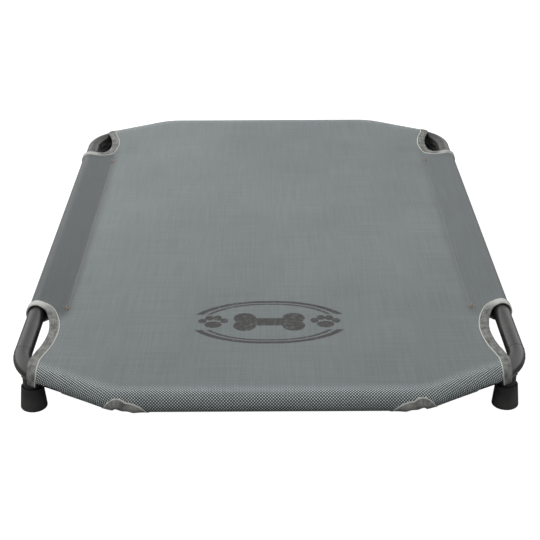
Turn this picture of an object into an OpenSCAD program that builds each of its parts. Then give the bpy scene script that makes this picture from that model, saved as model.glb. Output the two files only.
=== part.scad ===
// Low raised dog bed: a bent steel tube frame on four short capped legs,
// with a woven mesh cover that is sleeved over all four rails.
// The origin is on the floor under the middle of the bed, +Y runs from the front end to the rear end.

/* [Frame] */
// Distance between the axes of the two side rails
rail_span = 524; // [480:2:600]
// Distance between the axes of the two end rails
bed_length = 827; // [780:1:1000]
// Height of the rail axes above the floor
rail_height = 42; // [40:1:60]
// Outer diameter of the frame and leg tube
tube_d = 19.05; // [18:0.05:20]
// Wall thickness of the tube
tube_wall = 1.2; // [1:0.1:1.8]
// Length of the middle of an end rail, between the corners of its two bends
end_middle = 310; // [280:2:330]
// Angle by which an end rail turns back on each side of its middle
end_angle = 31.2; // [28:0.2:34]
// Bend radius at the ends of the middle
end_bend_r = 60; // [55:1:70]
// Bend radius at the bed's corners
corner_bend_r = 55; // [50:1:60]
// Distance from the rear rail's axis to the joint in each side rail
joint_from_rear = 126; // [110:1:135]
// Length of the reduced end that plugs into the front tube
spigot_length = 45; // [30:1:60]
// Width of the visible gap at the joint
joint_gap = 0.6; // [0.4:0.1:1]

/* [Legs and feet] */
// How far round the corner bend a leg stands, from the side rail
leg_angle = 43; // [38:1:46]
// Width of the weld bead round a leg's top
bead = 1.1; // [0.8:0.1:1.5]
// Height of a rubber foot
foot_height = 25.4; // [22:0.2:27]
// Radius of a foot at the floor
foot_bottom_r = 14; // [13:0.1:15]
// Radius of a foot at its rim
foot_rim_r = 11.8; // [11.4:0.1:12.4]
// Thickness of a foot's sole
sole = 5; // [4:0.5:7]

/* [Cover] */
// Thickness of the woven mesh
fabric = 0.8; // [0.7:0.1:0.9]
// Outer radius of a sleeve round its rail
sleeve_r = 10.65; // [10.65:0.05:10.9]
// Height of the middle of the deck above the floor
deck_height = 45; // [43:0.5:48]
// Distance from a side rail's axis to the seam that closes its sleeve
side_seam = 33; // [28:1:40]
// Distance from an end rail's axis to the seam that closes its sleeve
end_seam = 45; // [40:1:50]
// Width of the binding tape
tape_width = 10; // [8:0.5:12]
// Outer radius of the binding tape round a rail
tape_r = 11.3; // [11.2:0.1:11.6]
// Height of the loose lower edge of the tape in front of a leg
tape_hem = 27; // [26.5:0.5:30]

/* [Corner openings] */
// Distance from the front rail's axis to the front ends of the side sleeves
front_sleeve_end = 187; // [170:1:200]
// Distance from the rear rail's axis to the rear ends of the side sleeves
rear_sleeve_end = 141; // [139:1:160]
// Half width over the ends of the front sleeve
front_reach = 251; // [249:1:253]
// Half width over the ends of the rear sleeve
rear_reach = 243; // [241:1:251]
// Radius of the curved edge of the cover at a corner
edge_r = 138; // [130:1:150]
// Half width between the deepest points of the front corner openings
front_waist = 239.5; // [237:0.5:241]
// Half width between the deepest points of the rear corner openings
rear_waist = 234; // [232:0.5:238]
// Distance from the front rail's axis to the deepest point of a front opening
front_deepest = 129; // [120:1:140]
// Distance from the rear rail's axis to the deepest point of a rear opening
rear_deepest = 100; // [90:1:110]
// Width of a notch under an end rail's bend, over its tape
notch_width = 40; // [34:1:44]

/* [Hidden] */
$fn = 96;

steel_black = [0.13, 0.13, 0.13];
rubber_black = [0.09, 0.09, 0.09];
mesh_grey = [0.45, 0.48, 0.48];
tape_grey = [0.58, 0.57, 0.54];
thread_grey = [0.70, 0.68, 0.62];

tube_r = tube_d / 2;
bore_r = tube_r - tube_wall;
slip = 0.1;
half_span = rail_span / 2;
half_length = bed_length / 2;

// An end rail, from the middle outwards: straight, bend, slanted straight, corner bend, side arm.
corner_angle = 90 - end_angle;
end_setback = end_bend_r * tan(end_angle / 2);
corner_setback = corner_bend_r * tan(corner_angle / 2);
middle_run = end_middle / 2 - end_setback;
slant_run = (half_span - end_middle / 2) / cos(end_angle) - end_setback - corner_setback;
slant_depth = (half_span - end_middle / 2) * tan(end_angle);
arm_start = slant_depth + corner_setback;
front_arm = bed_length - joint_from_rear - arm_start - joint_gap / 2;
rear_arm = joint_from_rear - arm_start - joint_gap / 2;

// The leg's place under the corner bend, measured from the bed's side and end.
leg_x = half_span - corner_bend_r * (1 - cos(leg_angle));
leg_y = arm_start - corner_bend_r * sin(leg_angle);

// The rivet stands on top of the side rail, just in front of the joint.
rivet_y = half_length - joint_from_rear - 7;
rivet_shank_r = 1.6;
rivet_head_r = 3.2;

// Clearances round the leg, and the length of side arm that a cutter at a corner needs.
weld_room = 0.6;
hem_room = 0.3;
arm_stub = 40;

// The deck and the seams.
deck_low = deck_height - fabric / 2;
deck_top = deck_height + fabric / 2;
deck_drop = deck_height - rail_height;
deck_half = half_span - side_seam - 0.2;
tape_t = 2 * fabric;
sleeve_bore = sleeve_r - fabric;
thread_w = 0.8;
thread_h = 0.5;
clear = 0.2;
beyond = 600;

// How the swept stretches of a rail are joined: see the next section.
$fat = 0;
split = 0.03;
collar_length = 0.5;
collar_step = 0.15;

// --- Sweeping a profile along the frame -------------------------------------------------
// Profiles are drawn with x towards the middle of the bed and y up. Each stretch stops a hair
// short of the next, and a narrow collar, fatter by $fat, joins the two.

module run(length) {
    rotate([90, 0, 90]) linear_extrude(length) children();
}

module bend(radius, angle) {
    translate([0, radius, 0])
        rotate(-90)
            rotate_extrude(angle = angle)
                translate([radius, 0])
                    mirror([1, 0]) children();
}

module past_bend(length, radius, angle) {
    translate([length, radius, 0])
        rotate(angle)
            translate([0, -radius, 0]) children();
}

module stretch(length) {
    translate([split, 0, 0]) run(length - 2 * split) children();
}

module collar() {
    $fat = collar_step;
    translate([-collar_length / 2, 0, 0]) run(collar_length) children();
}

// Half of an end rail, from its middle to the end of a side arm of the given length.
module half_rail(arm) {
    run(middle_run - split) children();
    past_bend(middle_run, end_bend_r, 0) {
        collar() children();
        bend(end_bend_r, end_angle) children();
    }
    past_bend(middle_run, end_bend_r, end_angle) {
        collar() children();
        stretch(slant_run) children();
        past_bend(slant_run, corner_bend_r, 0) {
            collar() children();
            bend(corner_bend_r, corner_angle) children();
        }
        past_bend(slant_run, corner_bend_r, corner_angle) {
            collar() children();
            stretch(arm) children();
        }
    }
}

module both_halves() {
    children();
    mirror([1, 0, 0]) children();
}

// The children are placed at the front end, at the height of the rails.
module at_front() {
    translate([0, -half_length, rail_height]) children();
}

module at_end(end) {
    if (end == "front") children();
    else mirror([0, 1, 0]) children();
}

module at_side(side) {
    if (side == "right") children();
    else mirror([1, 0, 0]) children();
}

module disc(radius) {
    circle(radius + $fat);
}

module ring(outer, inner) {
    difference() {
        circle(outer + $fat);
        circle(inner - $fat);
    }
}

// --- Frame ------------------------------------------------------------------------------

module rivet_hole() {
    both_halves()
        translate([half_span, rivet_y, rail_height])
            cylinder(r = rivet_shank_r + 0.05, h = tube_r + 5);
}

module front_frame_tube() {
    color(steel_black) difference() {
        at_front() both_halves() half_rail(front_arm) ring(tube_r, bore_r);
        rivet_hole();
    }
}

module spigot() {
    past_bend(middle_run, end_bend_r, end_angle)
        past_bend(slant_run, corner_bend_r, corner_angle)
            translate([rear_arm - tube_wall, 0, 0]) {
                run(tube_wall) ring(tube_r, bore_r - slip - tube_wall);
                run(tube_wall + spigot_length) ring(bore_r - slip, bore_r - slip - tube_wall);
            }
}

module rear_frame_tube() {
    color(steel_black) difference() {
        at_end("rear") at_front() both_halves() {
            half_rail(rear_arm) ring(tube_r, bore_r);
            spigot();
        }
        rivet_hole();
    }
}

module joint_rivets() {
    color(steel_black) both_halves() translate([half_span, rivet_y, rail_height]) {
        translate([0, 0, bore_r - tube_wall - 1]) cylinder(r = rivet_shank_r, h = tube_wall * 2 + 2);
        translate([0, 0, tube_r + 0.05]) cylinder(r = rivet_head_r, h = 0.5);
        translate([0, 0, tube_r + 0.55]) cylinder(r1 = rivet_head_r, r2 = rivet_head_r - 1.2, h = 0.6);
    }
}

// --- Legs and feet ----------------------------------------------------------------------

module at_leg() {
    translate([leg_x, -half_length + leg_y, 0]) children();
}

// The corner of the front tube, filled out to a given radius, as a cutter for what meets it.
module corner_body(radius) {
    at_front() half_rail(arm_stub) disc(radius);
}

module leg() {
    color(steel_black) difference() {
        at_leg() translate([0, 0, sole]) cylinder(r = tube_r, h = rail_height - sole - 1);
        at_leg() cylinder(r = bore_r, h = rail_height);
        corner_body(tube_r + 0.05);
    }
}

module weld_bead() {
    difference() {
        intersection() {
            at_leg() cylinder(r = tube_r + bead, h = rail_height - 1);
            corner_body(tube_r + bead);
        }
        at_leg() cylinder(r = tube_r + 0.02, h = rail_height);
        corner_body(tube_r + 0.02);
    }
}

module leg_welds() {
    color(steel_black)
        for (end = ["front", "rear"], side = ["left", "right"])
            at_end(end) at_side(side) weld_bead();
}

module foot() {
    edge = 2;
    color(rubber_black) at_leg() rotate_extrude() difference() {
        union() {
            polygon([[0, 0], [foot_bottom_r - edge, 0], [foot_bottom_r, edge],
                     [foot_rim_r, foot_height], [0, foot_height]]);
            translate([foot_bottom_r - edge, edge]) circle(edge);
        }
        translate([-edge, -edge]) square([edge, foot_height]);
        polygon([[-1, sole], [tube_r + 0.05, sole], [tube_r + 0.05, foot_height - 3],
                 [tube_r + 1, foot_height], [tube_r + 1, foot_height + 1], [-1, foot_height + 1]]);
    }
}

// --- Cover ------------------------------------------------------------------------------

// A drop: a circle round the rail with two straight layers that meet at the seam. Each layer
// leaves the circle at a slight crease, a little before it would be tangent.
module drop(radius, reach) {
    crease = 5;
    rise = deck_drop * radius / sleeve_r;
    slope = atan2(rise, reach);
    spread = acos(radius / norm([reach, rise])) - crease;
    root = 0.98 * radius;
    circle(radius);
    polygon([
        [reach, rise],
        root * [cos(slope + spread), sin(slope + spread)],
        [0, 0],
        root * [cos(slope - spread), sin(slope - spread)]
    ]);
}

module sleeve_profile(seam) {
    difference() {
        drop(sleeve_r, seam);
        drop(sleeve_bore, seam * sleeve_bore / sleeve_r);
    }
}

// Places of the corner openings, for the front or the rear end.
function sleeve_end(end) = end == "front" ? front_sleeve_end : rear_sleeve_end;
function reach(end) = end == "front" ? front_reach : rear_reach;
function waist(end) = end == "front" ? front_waist : rear_waist;
function deepest(end) = end == "front" ? front_deepest : rear_deepest;

// The round corner opening, grown by a margin, as a cutter through the cover's height.
module corner_opening(end, margin) {
    translate([0, 0, deck_height - 20]) linear_extrude(40) edge_circle(end, margin);
}

module side_sleeve(side) {
    front = -half_length + front_sleeve_end + tape_width + clear;
    rear = half_length - rear_sleeve_end - tape_width - clear;
    color(mesh_grey) at_side(side)
        translate([half_span, front, rail_height])
            rotate(90) run(rear - front) sleeve_profile(side_seam);
}

// A round cutter for the notch under an end rail's first bend, seen square on to the bend.
// It starts inside the tube, so that it cuts only the outer side of the sleeve.
module notch_cutter(radius) {
    above_rail = 3;
    inside = 6;
    translate([middle_run, end_bend_r, above_rail - notch_width / 2])
        rotate(end_angle / 2)
            translate([0, inside - end_bend_r, 0])
                rotate([90, 0, 0]) cylinder(r = radius, h = inside + 2 * sleeve_r);
}

module end_sleeve(end) {
    inner_half = reach(end) - tape_width - clear;
    color(mesh_grey) at_end(end) difference() {
        intersection() {
            at_front() both_halves() half_rail(1) ring(sleeve_r, sleeve_bore);
            translate([-inner_half, -beyond, 0]) cube([2 * inner_half, beyond, 100]);
        }
        both_halves() {
            at_leg() cylinder(r = tube_r + bead + weld_room, h = rail_height);
            at_front() notch_cutter(notch_width / 2);
        }
    }
}

module notch_binding(end, side) {
    color(tape_grey) at_end(end) at_side(side) at_front() difference() {
        intersection() {
            half_rail(1) ring(tape_r, sleeve_bore);
            notch_cutter(notch_width / 2 - clear);
        }
        notch_cutter(notch_width / 2 - tape_width);
    }
}

// The deck between the four seams, running out to the tape at the corners.
module deck_panel() {
    color(mesh_grey) difference() {
        translate([0, 0, deck_low]) linear_extrude(fabric) intersection() {
            union() {
                square([2 * deck_half, bed_length], center = true);
                front_lands();
            }
            deck_outline(sleeve_r + collar_step + clear);
        }
        for (end = ["front", "rear"])
            at_end(end) both_halves() corner_opening(end, tape_width + clear);
    }
}

// The deck's wider stretch in front of the side sleeves.
module front_lands() {
    land_half = front_reach - tape_width - clear;
    translate([-land_half, -half_length])
        square([2 * land_half, front_sleeve_end + tape_width]);
}

// The outline at a given depth inside the end rails' axes, which turns with the rails.
module deck_outline(depth) {
    corner_x = end_middle / 2 - depth * tan(end_angle / 2);
    corner_y = half_length - depth;
    side_x = half_span;
    side_y = corner_y - (side_x - corner_x) * tan(end_angle);
    polygon([
        [corner_x, corner_y], [side_x, side_y], [side_x, -side_y], [corner_x, -corner_y],
        [-corner_x, -corner_y], [-side_x, -side_y], [-side_x, side_y], [-corner_x, corner_y]
    ]);
}

// The tape along a corner's curved edge, with the rings that bind the two sleeve ends.
module binding(end, side) {
    color(tape_grey) at_end(end) at_side(side) {
        edge_tape(end);
        side_ring(end);
        end_ring(end);
    }
}

// The flat stretch of tape, whose ends stop inside the walls of the two rings.
module edge_tape(end) {
    wall_middle = (tape_r + sleeve_bore) / 2;
    low_x = waist(end) - tape_width - 1;
    high_x = half_span - sqrt(wall_middle ^ 2 - (deck_drop + tape_t / 2) ^ 2);
    difference() {
        translate([0, 0, deck_height - tape_t / 2]) linear_extrude(tape_t) {
            difference() {
                intersection() {
                    translate([low_x, -half_length + leg_y])
                        square([high_x - low_x, sleeve_end(end) + tape_width - leg_y]);
                    edge_circle(end, tape_width);
                }
                edge_circle(end, 0);
            }
            translate([high_x - tape_width, -half_length + sleeve_end(end)])
                square(tape_width);
        }
        at_front() half_rail(1) disc(wall_middle);
    }
}

module edge_circle(end, margin) {
    translate([waist(end) + edge_r, -half_length + deepest(end)])
        circle(edge_r + margin, $fn = 256);
}

module side_ring(end) {
    translate([half_span, -half_length + sleeve_end(end), rail_height])
        rotate(90) run(tape_width) ring(tape_r, sleeve_bore);
}

// The ring at the end of an end sleeve: open below, where the leg is, and hanging down in front.
module end_ring(end) {
    intersection() {
        at_front() half_rail(1) ring(tape_r, sleeve_bore);
        translate([reach(end) - tape_width, -beyond, rail_height - 0.5]) cube([tape_width, beyond, 40]);
    }
    intersection() {
        at_front() half_rail(1) hanging_hem();
        translate([reach(end) - tape_width, -beyond, 0]) cube([tape_width, beyond, 100]);
    }
}

// The hanging front of the tape, just clear of the weld round the leg.
module hanging_hem() {
    near = tube_r + bead + hem_room;
    hem_drop = rail_height - tape_hem;
    polygon([
        [-near + $fat, 3],
        [-near - 1.2 - $fat, 0.5],
        [-near - 1.8 - $fat, -hem_drop - $fat],
        [-near - 0.4 + $fat, -hem_drop - $fat],
        [-near + $fat, 0]
    ]);
}

// The stitched line that closes a side sleeve, with a bar of close stitches at each end.
module side_seam_thread(side) {
    inset = 5;
    front = -half_length + front_sleeve_end + tape_width + inset;
    rear = half_length - rear_sleeve_end - tape_width - inset;
    bar_length = 7;
    bar = [thread_w + 1, bar_length, thread_h + 0.1];
    color(thread_grey) at_side(side) translate([deck_half - 2 * thread_w, front, deck_top]) {
        cube([thread_w, rear - front, thread_h]);
        translate([-0.5, 0, 0]) cube(bar);
        translate([-0.5, rear - front - bar_length, 0]) cube(bar);
    }
}

// The stitched line that closes an end sleeve, under the deck.
module end_seam_thread(end) {
    depth = end_seam + 2;
    run_past = 40;
    seam_half = end_middle / 2 + run_past;
    color(thread_grey) at_end(end) translate([0, 0, deck_low - thread_h]) linear_extrude(thread_h)
        difference() {
            intersection() {
                deck_outline(depth);
                translate([-seam_half, -half_length]) square([2 * seam_half, half_length / 2]);
            }
            deck_outline(depth + thread_w);
        }
}

front_frame_tube();
rear_frame_tube();
joint_rivets();
at_end("front") at_side("left") leg();  // front_left_leg
at_end("front") at_side("right") leg();  // front_right_leg
at_end("rear") at_side("left") leg();  // rear_left_leg
at_end("rear") at_side("right") leg();  // rear_right_leg
leg_welds();
at_end("front") at_side("left") foot();  // front_left_foot
at_end("front") at_side("right") foot();  // front_right_foot
at_end("rear") at_side("left") foot();  // rear_left_foot
at_end("rear") at_side("right") foot();  // rear_right_foot
deck_panel();
side_sleeve("left");  // left_side_sleeve
side_sleeve("right");  // right_side_sleeve
end_sleeve("front");  // front_end_sleeve
end_sleeve("rear");  // rear_end_sleeve
binding("front", "left");  // front_left_binding
binding("front", "right");  // front_right_binding
binding("rear", "left");  // rear_left_binding
binding("rear", "right");  // rear_right_binding
notch_binding("front", "left");  // front_left_notch_binding
notch_binding("front", "right");  // front_right_notch_binding
notch_binding("rear", "left");  // rear_left_notch_binding
notch_binding("rear", "right");  // rear_right_notch_binding
side_seam_thread("left");  // left_seam_thread
side_seam_thread("right");  // right_seam_thread
end_seam_thread("front");  // front_seam_thread
end_seam_thread("rear");  // rear_seam_thread
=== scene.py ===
"""Looks of a low raised dog bed: a black steel tube frame under a stretched woven mesh cover."""
import logging
import math
from dataclasses import dataclass
from enum import Enum

import bpy
import numpy as np
from mathutils import Matrix, Vector


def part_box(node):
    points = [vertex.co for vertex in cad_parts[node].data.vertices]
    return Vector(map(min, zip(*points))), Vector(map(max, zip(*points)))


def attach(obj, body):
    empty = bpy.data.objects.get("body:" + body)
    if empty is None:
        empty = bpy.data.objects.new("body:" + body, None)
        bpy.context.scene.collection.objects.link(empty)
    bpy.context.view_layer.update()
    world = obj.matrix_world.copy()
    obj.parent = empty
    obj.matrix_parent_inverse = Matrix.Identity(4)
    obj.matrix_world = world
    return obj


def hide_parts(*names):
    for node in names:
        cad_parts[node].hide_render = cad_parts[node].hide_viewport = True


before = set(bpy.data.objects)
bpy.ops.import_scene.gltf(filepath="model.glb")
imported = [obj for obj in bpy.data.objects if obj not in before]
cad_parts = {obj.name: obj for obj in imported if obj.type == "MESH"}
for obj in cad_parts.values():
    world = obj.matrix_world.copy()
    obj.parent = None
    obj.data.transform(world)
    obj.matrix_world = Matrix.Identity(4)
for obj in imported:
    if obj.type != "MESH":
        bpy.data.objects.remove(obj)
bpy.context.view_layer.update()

MM = 0.001
PACKED_TAPE = 10 * MM
HEM_RISE = 7.5 * MM
MOTIF_FROM_FRONT = 156 * MM
log = logging.getLogger("dog_bed")


class End(Enum):
    """The two ends of the bed."""

    FRONT = "front"
    REAR = "rear"


# --- Sizes --------------------------------------------------------------------------------


def steps(low: float, high: float, pitch: float) -> np.ndarray:
    """Evenly spaced values, about pitch apart, from low up to but not including high."""
    count = max(1, round((high - low) / pitch))
    return np.linspace(low, high, count, endpoint=False)


def ease(value: np.ndarray, low: float, high: float) -> np.ndarray:
    """Smooth step from 0 at low to 1 at high."""
    s = np.clip((value - low) / (high - low), 0.0, 1.0)
    return s * s * (3 - 2 * s)


@dataclass(frozen=True)
class BedSizes:
    """The bed's main sizes, read from the frame's nodes. The tapes are a little wider here than
    packed, and the loose hems end a little higher."""

    tube_r: float
    half_span: float
    front_y: float
    length: float
    rail_z: float
    sleeve_r: float
    deck_z: float
    seam_x: float
    front_sleeve_end: float
    rear_sleeve_end: float
    hem_z: float
    fabric: float = 0.8 * MM
    tape_width: float = 11.5 * MM
    tape_t: float = 1.9 * MM

    @classmethod
    def from_frame(cls) -> "BedSizes":
        """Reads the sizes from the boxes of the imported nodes.

        Returns:
            The sizes.
        """
        tube_low, tube_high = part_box("front_frame_tube")
        rear_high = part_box("rear_frame_tube")[1]
        leg_low, leg_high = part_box("front_right_leg")
        sleeve_low, sleeve_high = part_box("right_side_sleeve")
        deck_low, deck_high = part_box("deck_panel")
        tube_r = (leg_high.x - leg_low.x) / 2
        half_span = tube_high.x - tube_r
        front_y = tube_low.y + tube_r
        rear_y = rear_high.y - tube_r
        front_low, front_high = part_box("front_right_binding")
        rear_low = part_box("rear_right_binding")[0]
        return cls(
            tube_r=tube_r,
            half_span=half_span,
            front_y=front_y,
            length=rear_y - front_y,
            rail_z=tube_high.z - tube_r,
            sleeve_r=sleeve_high.x - half_span,
            deck_z=(deck_low.z + deck_high.z) / 2,
            seam_x=sleeve_low.x,
            front_sleeve_end=front_high.y - PACKED_TAPE - front_y,
            rear_sleeve_end=rear_y - rear_low.y - PACKED_TAPE,
            hem_z=front_low.z + HEM_RISE,
        )

    def sleeve_end(self, end: End) -> float:
        """Distance from an end rail's axis to the side sleeves."""
        return self.front_sleeve_end if end is End.FRONT else self.rear_sleeve_end


@dataclass(frozen=True)
class EndPath:
    """Line of an end rail's axis: how far it turns back, by the distance from the bed's middle."""

    half_span: float
    middle_half: float = 155 * MM
    angle: float = math.radians(31.2)
    bend_r: float = 60 * MM
    corner_r: float = 55 * MM

    @property
    def bend_x(self) -> float:
        """Where the straight middle ends."""
        return self.middle_half - self.bend_r * math.tan(self.angle / 2)

    @property
    def slant_x(self) -> float:
        """Where the slanted stretch begins."""
        return self.bend_x + self.bend_r * math.sin(self.angle)

    @property
    def corner_x(self) -> float:
        """Where the slanted stretch ends."""
        return self.half_span - self.corner_r * (1 - math.sin(self.angle))

    def slope(self, x: np.ndarray) -> np.ndarray:
        """Angle of the line against X.

        Args:
            x: Distances from the bed's middle.

        Returns:
            The angles in radians.
        """
        bend = np.arcsin(np.clip((x - self.bend_x) / self.bend_r, 0, 1))
        corner = np.arcsin(np.clip((x - self.half_span + self.corner_r) / self.corner_r, 0, 0.84))
        slanted = np.where(x < self.slant_x, bend, self.angle)
        return np.where(x > self.corner_x, corner, slanted)

    def depth(self, x: np.ndarray) -> np.ndarray:
        """Distance of the line behind the rail's middle.

        Args:
            x: Distances from the bed's middle.

        Returns:
            The distances.
        """
        slope = self.slope(x)
        bend = self.bend_r * (1 - np.cos(slope))
        slant_y = self.bend_r * (1 - math.cos(self.angle))
        slanted = slant_y + (x - self.slant_x) * math.tan(self.angle)
        corner_y = slant_y + (self.corner_x - self.slant_x) * math.tan(self.angle)
        corner = corner_y + self.corner_r * (math.cos(self.angle) - np.cos(slope))
        line = np.where(x < self.slant_x, bend, slanted)
        return np.where(x > self.corner_x, corner, line)


# --- Finishes -----------------------------------------------------------------------------


class Nodes:
    """Builds a material's node tree with short calls."""

    def __init__(self, name: str) -> None:
        """Makes an empty material with a surface shader.

        Args:
            name: The material's name.
        """
        self.material = bpy.data.materials.new(name)
        self.material.use_nodes = True
        self.tree = self.material.node_tree
        self.shader = self.tree.nodes["Principled BSDF"]

    def add(self, kind: str, **values: object) -> bpy.types.Node:
        """Adds a node and sets its properties.

        Args:
            kind: The node's type without its prefix.
            **values: Properties of the node.

        Returns:
            The node.
        """
        node = self.tree.nodes.new("ShaderNode" + kind)
        for key, value in values.items():
            setattr(node, key, value)
        return node

    def link(self, source: object, target: bpy.types.NodeSocket) -> None:
        """Links a socket to another, or sets it where the source is a plain value.

        Args:
            source: A socket or a plain value.
            target: The socket that gets it.
        """
        if isinstance(source, bpy.types.NodeSocket):
            self.tree.links.new(source, target)
        else:
            target.default_value = source

    def math(self, operation: str, *inputs: object) -> bpy.types.NodeSocket:
        """Adds a math node.

        Args:
            operation: The operation's name.
            *inputs: Sockets or numbers.

        Returns:
            The result's socket.
        """
        node = self.add("Math", operation=operation)
        for socket, source in zip(node.inputs, inputs):
            self.link(source, socket)
        return node.outputs[0]

    def length(self, first: object, second: object) -> bpy.types.NodeSocket:
        """Length of a vector of two parts."""
        squares = [self.math("MULTIPLY", part, part) for part in (first, second)]
        return self.math("SQRT", self.math("ADD", *squares))

    def split(self, vector: bpy.types.NodeSocket) -> bpy.types.NodeOutputs:
        """Splits a vector into the sockets of its three parts.

        Args:
            vector: The vector's socket.

        Returns:
            The three sockets.
        """
        node = self.add("SeparateXYZ")
        self.link(vector, node.inputs[0])
        return node.outputs

    def painted(self, name: str) -> bpy.types.NodeSocket:
        """Reads an attribute of the mesh."""
        return self.add("Attribute", attribute_name=name).outputs["Fac"]

    def ramp(self, value: object, low: float, high: float, start: float = 0.0,
             stop: float = 1.0) -> bpy.types.NodeSocket:
        """Maps a value smoothly from one range to another.

        Args:
            value: The socket that is read.
            low: Value that becomes start.
            high: Value that becomes stop.
            start: First result.
            stop: Last result.

        Returns:
            The result's socket.
        """
        node = self.add("MapRange", interpolation_type="SMOOTHSTEP")
        for socket, source in zip(node.inputs, (value, low, high, start, stop)):
            self.link(source, socket)
        return node.outputs[0]

    def mix(self, factor: object, first: object, second: object,
            blend: str = "MIX") -> bpy.types.NodeSocket:
        """Mixes two colours.

        Args:
            factor: How much of the second colour.
            first: A colour or its socket.
            second: A colour or its socket.
            blend: How they mix.

        Returns:
            The result's socket.
        """
        node = self.add("Mix", data_type="RGBA", blend_type=blend)
        self.link(factor, node.inputs[0])
        self.link(first, node.inputs[6])
        self.link(second, node.inputs[7])
        return node.outputs[2]

    def noise(self, scale: float, detail: float = 2.0, vector: object = None,
              stretch: tuple[float, float, float] = (1, 1, 1)) -> bpy.types.NodeSocket:
        """Adds noise on the object's coordinates.

        Args:
            scale: Size of the noise, in turns per metre.
            detail: Octaves.
            vector: Another vector to read.
            stretch: Scale along each axis.

        Returns:
            The noise's socket.
        """
        source = vector or self.add("TexCoord").outputs["Object"]
        mapping = self.add("Mapping")
        self.link(source, mapping.inputs["Vector"])
        mapping.inputs["Scale"].default_value = stretch
        node = self.add("TexNoise")
        self.link(mapping.outputs[0], node.inputs["Vector"])
        node.inputs["Scale"].default_value = scale
        node.inputs["Detail"].default_value = detail
        return node.outputs["Fac"]

    def bump(self, height: object, strength: float, distance: float,
             normal: object = None) -> bpy.types.NodeSocket:
        """Adds a bump.

        Args:
            height: The height's socket.
            strength: Strength of the bump.
            distance: Height of the bump in metres.
            normal: A bump that lies below this one.

        Returns:
            The normal's socket.
        """
        node = self.add("Bump")
        node.inputs["Strength"].default_value = strength
        node.inputs["Distance"].default_value = distance
        self.link(height, node.inputs["Height"])
        if normal is not None:
            self.link(normal, node.inputs["Normal"])
        return node.outputs[0]

    def finish(self, **values: object) -> bpy.types.Material:
        """Sets the shader's sockets by name, with underscores for spaces.

        Args:
            **values: Sockets or plain values.

        Returns:
            The material.
        """
        for key, value in values.items():
            self.link(value, self.shader.inputs[key.replace("_", " ")])
        return self.material


def grey(value: float, warm: float = 0.0) -> tuple[float, float, float, float]:
    """A grey in linear light, turned to brown where warm is above 0 and to sea green below."""
    return (value * (1 + warm), value, value * (1 - max(warm, 0)), 1.0)


@dataclass(frozen=True)
class PowderCoat:
    """Satin black powder coat on steel: a fine orange peel, and a little dust and rubbing in
    patches.
    """

    name: str = "powder_coat_black"
    base: float = 0.022
    rubbed: float = 0.05
    roughness: float = 0.3

    def make(self) -> bpy.types.Material:
        """Makes the material.

        Returns:
            The material.
        """
        n = Nodes(self.name)
        peel = n.noise(900, 3)
        patches = n.noise(24, 4)
        dust = n.ramp(patches, 0.45, 0.75)
        colour = n.mix(dust, grey(self.base, 0.02), grey(self.rubbed, 0.05))
        rough = n.ramp(patches, 0.3, 0.7, self.roughness - 0.05, self.roughness + 0.08)
        bump = n.bump(peel, 0.25, 0.15 * MM)
        return n.finish(Base_Color=colour, Roughness=rough, Normal=bump,
                        Specular_IOR_Level=0.6, Coat_Weight=0.2, Coat_Roughness=0.2)


@dataclass(frozen=True)
class Rubber:
    """Matte black rubber with a fine moulded grain and a paler bloom."""

    name: str = "rubber_black"

    def make(self) -> bpy.types.Material:
        """Makes the material.

        Returns:
            The material.
        """
        n = Nodes(self.name)
        grain = n.noise(1400, 3)
        bloom = n.noise(60, 4)
        colour = n.mix(n.ramp(bloom, 0.4, 0.7), grey(0.028, 0.02), grey(0.05, 0.03))
        rough = n.ramp(bloom, 0.3, 0.7, 0.5, 0.66)
        return n.finish(Base_Color=colour, Roughness=rough, Specular_IOR_Level=0.4,
                        Normal=n.bump(grain, 0.3, 0.2 * MM))


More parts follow.
